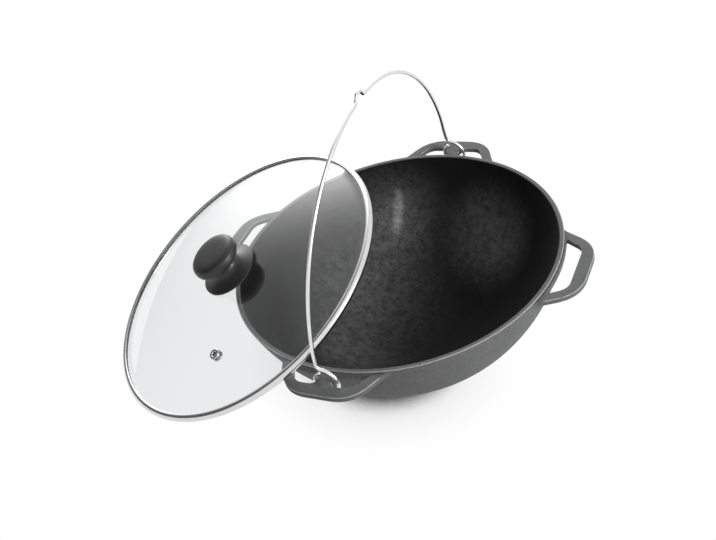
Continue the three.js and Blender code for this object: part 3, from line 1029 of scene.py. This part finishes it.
def bail(finish):
    """One wire from eye to eye, drawn along its centre line."""
    route = smooth_route([*eye_points(-1), *arch_points(), *reversed(eye_points(1))], WIRE_SPACING)
    mesh = bpy.data.meshes.new("bail")
    edges = [(i, i + 1) for i in range(len(route) - 1)]
    mesh.from_pydata([BAIL @ p for p in route], edges, [])
    piece = placed("bail", mesh)
    tree, sockets = wire_tree()
    modifier = piece.modifiers.new("wire", "NODES")
    modifier.node_group = tree
    modifier[sockets["Radius"]] = wire_radius * MM
    modifier[sockets["Sides"]] = WIRE_SIDES
    modifier[sockets["Tip"]] = TIP_TAPER
    modifier[sockets["Finish"]] = finish
    smooth(plain_mesh(piece), WIRE_CREASE)
    dress(piece, "bail", "bail_steel", finish, "bail_wire")


# Lid

def crown(bottom, outer, top):
    """Half-round edge from the bottom over the outer radius to the top."""
    middle = (bottom + top) / 2
    flat = LID_RADIUS - BAND_CROWN
    out = flat + (outer - flat) * ROUND_PULL
    up = (top - middle) * ROUND_PULL
    return [
        Vector((flat, bottom)),
        *bezier((flat, bottom), (out, bottom), (outer, middle - up), (outer, middle), steps=10),
        *bezier((outer, middle), (outer, middle + up), (out, top), (flat, top), steps=10),
    ]


def sheet_edge(radius, face, back):
    """Rounded free edge of a sheet, from its face to its back."""
    thickness = back - face
    start = radius + LIP_SETBACK * abs(thickness)
    return [
        (start, face),
        (radius, face + LIP_ROUND * thickness),
        (radius, back - LIP_ROUND * thickness),
        (start, back),
    ]


def channel(name, lip_bottom, lip_top, bottom, outer, top, sheet):
    """Folded channel with a half-round back and thin lips."""
    outline = [
        *reversed(sheet_edge(lip_bottom, bottom, bottom + sheet)),
        *crown(bottom, outer, top),
        *sheet_edge(lip_top, top, top - sheet),
        *reversed(crown(bottom + sheet, outer - sheet, top - sheet)),
    ]
    return turned(name, outline, LID_SEGMENTS, LID, closed=True)


def ring(name, inner, outer, bottom, thickness, place):
    """Flat ring with softened edges."""
    top = bottom + thickness
    corners = ((inner, bottom), (outer, bottom), (outer, top), (inner, top))
    outline = softened([(*corner, RING_EDGE) for corner in corners], steps=3)
    return turned(name, outline, SMALL_SEGMENTS, place, closed=True)


def lid_glass(finish):
    """Domed sheet with a flat land round its edge and holes for the knob's screw and the vent."""
    span = dome_edge - KNOB_HOLE_RADIUS
    radii = [KNOB_HOLE_RADIUS + span * i / DOME_RINGS for i in range(DOME_RINGS + 1)]
    under = [(r, glass_bottom(r)) for r in radii]
    over = [(r, glass_top(r)) for r in reversed(radii)]
    edge = crown(land_bottom, glass_radius, land_top)
    glass = turned("lid_glass_dome", [*under, *edge, *over], LID_SEGMENTS, LID, closed=True)
    bore = VENT_TUBE_RADIUS + FIT
    deep = 2 * GLASS_THICKNESS
    drill = turned("drill", [(0, -deep), (bore, -deep), (bore, deep), (0, deep)], SMALL_SEGMENTS, VENT)
    cut(glass, ("DIFFERENCE", drill))
    # Clear glass lets the studio's light through to the floor, so it throws no shadow
    glass.visible_shadow = False
    dress(glass, "lid", "glass", finish, "lid_glass")


def lid_band(finish):
    top_lip = LID_RADIUS - BAND_TOP_LIP
    bottom_lip = LID_RADIUS - BAND_BOTTOM_LIP
    band = channel("lid_band", bottom_lip, top_lip, 0, LID_RADIUS, band_top, BAND_SHEET)
    dress(band, "lid", "band_steel", finish, "lid_rim_band")


def lid_seal(finish):
    legs = seal_radius - RIM_SEAL_LEG
    seal = channel("lid_seal", legs, legs, seal_bottom, seal_radius, seal_top, RIM_SEAL)
    dress(seal, "lid", "silicone", finish, "lid_rim_seal")


def knob(finish):
    """Flared foot, narrow waist and flat-topped cap, hollow under the foot."""
    bore_top = boss_bottom + INSERT_LENGTH + FIT
    bore = INSERT_RADIUS + FIT
    recess = boss_bottom + KNOB_RECESS
    flare_out, flare_up = KNOB_FLARE_PULL

    def at(radius, height):
        return Vector((radius, knob_bottom + height))

    edge = at(KNOB_BASE_RADIUS, KNOB_BASE_EDGE)
    waist = at(KNOB_WAIST_RADIUS, KNOB_WAIST_HEIGHT)
    shoulder = at(KNOB_CAP_RADIUS, KNOB_CAP_HEIGHT)
    hollow = [
        (0, bore_top),
        (bore, bore_top),
        (bore, boss_bottom),
        (KNOB_BOSS_RADIUS, boss_bottom),
        (KNOB_BOSS_RADIUS, recess),
        (KNOB_BASE_RADIUS - 2 * KNOB_SKIRT, recess),
    ]
    foot = [
        at(KNOB_BASE_RADIUS - KNOB_SKIRT, 0),
        at(KNOB_BASE_RADIUS - KNOB_BASE_ROUND, 0),
        at(KNOB_BASE_RADIUS, KNOB_BASE_ROUND),
        edge,
    ]
    flare = bezier(
        edge, at(KNOB_WAIST_RADIUS + flare_out, KNOB_BASE_EDGE + flare_up),
        at(KNOB_WAIST_RADIUS, KNOB_WAIST_HEIGHT - KNOB_WAIST_PULL), waist, steps=14)
    neck = bezier(
        waist, at(KNOB_WAIST_RADIUS, KNOB_WAIST_HEIGHT + KNOB_WAIST_PULL),
        at(KNOB_CAP_RADIUS, KNOB_CAP_HEIGHT - KNOB_CAP_PULL), shoulder, steps=16)
    cap = bezier(
        shoulder, at(KNOB_CAP_RADIUS, KNOB_HEIGHT),
        at(KNOB_CAP_FLAT, KNOB_HEIGHT), at(0, KNOB_HEIGHT), steps=20)
    body = turned("knob", [*hollow, *foot, *flare, *neck, *cap], KNOB_SEGMENTS, LID)
    dress(body, "lid", "knob_plastic", finish, "knob_body")


def cross_cutter(bearing, head_bottom):
    """Cutter for one bar of the screw's cross recess."""
    across = CROSS_LENGTH / 2
    half = CROSS_WIDTH / 2
    bar = [Vector(p) for p in ((-across, -half), (across, -half), (across, half), (-across, half))]
    layers = [(bar, head_bottom - CUT_PAST), (inset(bar, CROSS_TAPER), head_bottom + CROSS_DEPTH)]
    return lofted(f"cross_{bearing}", layers, LID @ turn(bearing, "Z"))


def knob_screw(finish):
    """Pan head screw with a cross recess in its head."""
    head_bottom = head_top - SCREW_HEAD_HEIGHT
    tip = boss_bottom + SCREW_GRIP
    pull_out, pull_up = SCREW_HEAD_PULL
    pan = bezier(
        (SCREW_HEAD_FLAT, head_bottom), (pull_out, head_bottom),
        (SCREW_HEAD_RADIUS, head_bottom + pull_up),
        (SCREW_HEAD_RADIUS, head_top - SCREW_HEAD_SIDE), steps=6)
    outline = [
        (0, head_bottom),
        (SCREW_HEAD_FLAT, head_bottom),
        *pan,
        (SCREW_HEAD_RADIUS - SCREW_HEAD_EDGE, head_top),
        (SCREW_RADIUS, head_top),
        (SCREW_RADIUS, tip - SCREW_CHAMFER),
        (SCREW_RADIUS - SCREW_CHAMFER, tip),
        (0, tip),
    ]
    screw = turned("knob_screw_pan", outline, SMALL_SEGMENTS, LID)
    cut(screw, *[("DIFFERENCE", cross_cutter(bearing, head_bottom)) for bearing in (0, 90)])
    dress(screw, "lid", "zinc_steel", finish, "knob_screw")


def knob_rings(steel, seal, brass):
    """The knob's insert, and the washers on both sides of the glass."""

    def fixed(name, radius, bottom, thickness, slot, finish, node):
        dress(ring(name, screw_hole, radius, bottom, thickness, LID), "lid", slot, finish, node)

    fixed("knob_insert_sleeve", INSERT_RADIUS, boss_bottom, INSERT_LENGTH,
          "brass", brass, "knob_insert")
    fixed("knob_upper_seal", KNOB_SEAL_RADIUS, upper_seal_bottom, KNOB_SEAL,
          "silicone", seal, "knob_seal_upper")
    fixed("knob_lower_seal", KNOB_SEAL_RADIUS, lower_seal_bottom, KNOB_SEAL,
          "silicone", seal, "knob_seal_lower")
    fixed("knob_flat_washer", KNOB_WASHER_RADIUS, knob_washer_bottom, KNOB_WASHER,
          "zinc_steel", steel, "knob_washer")
    fixed("knob_spring_washer", LOCK_WASHER_RADIUS, lock_washer_bottom, LOCK_WASHER,
          "zinc_steel", steel, "knob_lock_washer")


def vent(steel, seal):
    """Eyelet rolled over a washer under the glass, with a soft ring under its upper flange."""
    flange_bottom = FIT + VENT_GASKET + FIT
    roll_top = flange_bottom + VENT_FLANGE + VENT_LIP
    washer_bottom = -GLASS_THICKNESS - FIT - VENT_WASHER
    under_top = washer_bottom - FIT
    under_bottom = under_top - VENT_FLANGE
    tube = softened([
        (VENT_BORE_RADIUS, under_bottom, VENT_LIP),
        (VENT_FLANGE_RADIUS, under_bottom, VENT_LIP),
        (VENT_FLANGE_RADIUS, under_top, VENT_LIP),
        (VENT_TUBE_RADIUS, under_top, 0),
        (VENT_TUBE_RADIUS, flange_bottom, 0),
        (VENT_FLANGE_RADIUS, flange_bottom, 0),
    ], steps=4)
    roll = bezier(
        (VENT_FLANGE_RADIUS, flange_bottom), (VENT_FLANGE_RADIUS, roll_top),
        (VENT_BORE_RADIUS, roll_top), (VENT_BORE_RADIUS, flange_bottom), steps=12)
    eyelet = turned("vent_eyelet_rim", [*tube, *roll], SMALL_SEGMENTS, VENT, closed=True)
    dress(eyelet, "lid", "band_steel", steel, "vent_eyelet")
    inner = VENT_TUBE_RADIUS + FIT
    gasket = ring("vent_soft_ring", inner, VENT_FLANGE_RADIUS, FIT, VENT_GASKET, VENT)
    dress(gasket, "lid", "silicone", seal, "vent_gasket")
    washer = ring("vent_back_washer", inner, VENT_FLANGE_RADIUS, washer_bottom, VENT_WASHER, VENT)
    dress(washer, "lid", "band_steel", steel, "vent_washer")


# Studio

def floor():
    """White sweep. Seen directly, through glass or in a reflection it is white with a soft contact shadow,
    and for the light it gives back to the pieces it is plain matt."""
    half = FLOOR_SIZE / 2
    corners = [(-half, -half, 0), (half, -half, 0), (half, half, 0), (-half, half, 0)]
    mesh = bpy.data.meshes.new("floor")
    mesh.from_pydata(corners, [], [(0, 1, 2, 3)])
    f = Finish("white_sweep")
    seen = f.ray("Camera").above(f.ray("Glossy")).above(f.ray("Transmission"))
    sky = f.node(
        "ShaderNodeAmbientOcclusion", {"samples": CONTACT_SAMPLES}, {"Distance": CONTACT_REACH}, "AO")
    lit = sky.between(*CONTACT_RANGE) * (1 - HAZE_SHARE) + sky.between(*HAZE_RANGE) * HAZE_SHARE
    white = f.node("ShaderNodeEmission", {}, {"Color": lit})
    matt = f.node("ShaderNodeBsdfDiffuse", {}, {"Color": grey(FLOOR_TONE)})
    f.surface(f.node("ShaderNodeMixShader", {}, {0: seen, 1: matt, 2: white}))
    mesh.materials.append(f.material)
    plane = placed("floor", mesh)


def world():
    """White where it is seen, directly, through glass or in a reflection, apart from a dark flag on the
    left that reflections show. Its light is a dim room's with one glow behind the pot."""
    studio = bpy.data.worlds.new("white_studio")
    studio.use_nodes = True
    bpy.context.scene.world = studio
    s = Sheet(studio.node_tree)
    view = s.node("ShaderNodeTexCoord", {}, {}, "Generated")
    to_glow = s.along(view, GLOW_DIRECTION).above(0.0)
    to_flag = s.along(view, FLAG_DIRECTION)
    room = STUDIO_SHADE + to_glow ** GLOW_FOCUS * GLOW_STRENGTH
    mirrored = room.above(s.ray("Glossy") * (1 - to_flag.between(*FLAG_RANGE)))
    seen = s.ray("Camera").above(s.ray("Transmission"))
    background = studio.node_tree.nodes["Background"]
    s.feed(background.inputs["Color"], grey(1.0))
    s.feed(background.inputs["Strength"], mirrored * (1 - seen) + seen)


def softbox():
    """Square lamp high on the right, turned to the pot."""
    lamp = bpy.data.lights.new("softbox", "AREA")
    lamp.size = SOFTBOX_SIZE
    lamp.energy = SOFTBOX_POWER
    holder = placed("softbox", lamp)
    holder.location = SOFTBOX_PLACE
    holder.rotation_euler = (holder.location - rim_centre).to_track_quat("Z", "Y").to_euler()


def camera():
    """Camera at the photograph's place and angle."""
    data = bpy.data.cameras.new("camera")
    data.sensor_width = SENSOR_WIDTH
    data.lens = FOCAL_PIXELS / IMAGE_WIDTH * SENSOR_WIDTH
    holder = placed("camera", data)
    holder.location = rim_centre + Vector(CAMERA_OFFSET) * MM
    holder.rotation_euler = (math.radians(90 - CAMERA_ELEVATION), 0, math.radians(CAMERA_AZIMUTH))
    bpy.context.scene.camera = holder


def main():
    bpy.context.scene.view_settings.view_transform = "Standard"
    camera()
    world()
    softbox()
    floor()
    seal = soft_seal()
    zinc = rolled_steel("zinc_steel", LID, ZINC_TONES)
    pot(cast_iron())
    bail(bright_wire())
    lid_glass(clear_glass())
    lid_band(rolled_steel("band_steel", LID, SHEET_TONES))
    lid_seal(seal)
    knob(moulded_knob())
    knob_rings(zinc, seal, turned_brass())
    knob_screw(zinc)
    vent(rolled_steel("vent_steel", VENT, SHEET_TONES), seal)


main()
